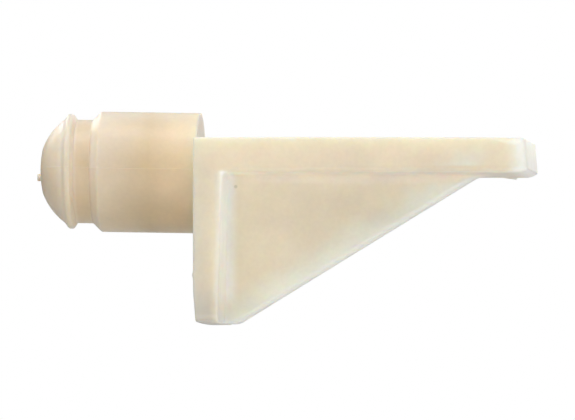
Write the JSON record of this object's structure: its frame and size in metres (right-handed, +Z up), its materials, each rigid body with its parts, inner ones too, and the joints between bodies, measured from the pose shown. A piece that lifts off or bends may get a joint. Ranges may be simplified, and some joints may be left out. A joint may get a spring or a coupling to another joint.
{
  "type": "shelf support anchor",
  "caption": "Push-in wall anchor for a shelf: domed snap plug with a groove, wall plate, flat ledge and bracing web.",
  "frame": {"origin": "on the plug's axis, in the plane of the wall plate's back face", "axes": "+X out of the wall along the ledge, +Z up, the plug runs into the wall along -X"},
  "size_m": [0.0413, 0.016, 0.0176],
  "materials": {
    "natural_nylon": "satin, slightly translucent natural nylon"
  },
  "bodies": {
    "root": {"gate_stub": "natural_nylon", "nose_dome": "natural_nylon", "snap_lip": "natural_nylon", "snap_neck": "natural_nylon", "plug_barrel": "natural_nylon", "wall_plate": "natural_nylon", "shelf_ledge": "natural_nylon", "gusset_web": "natural_nylon"}
  },
  "joints": []
}
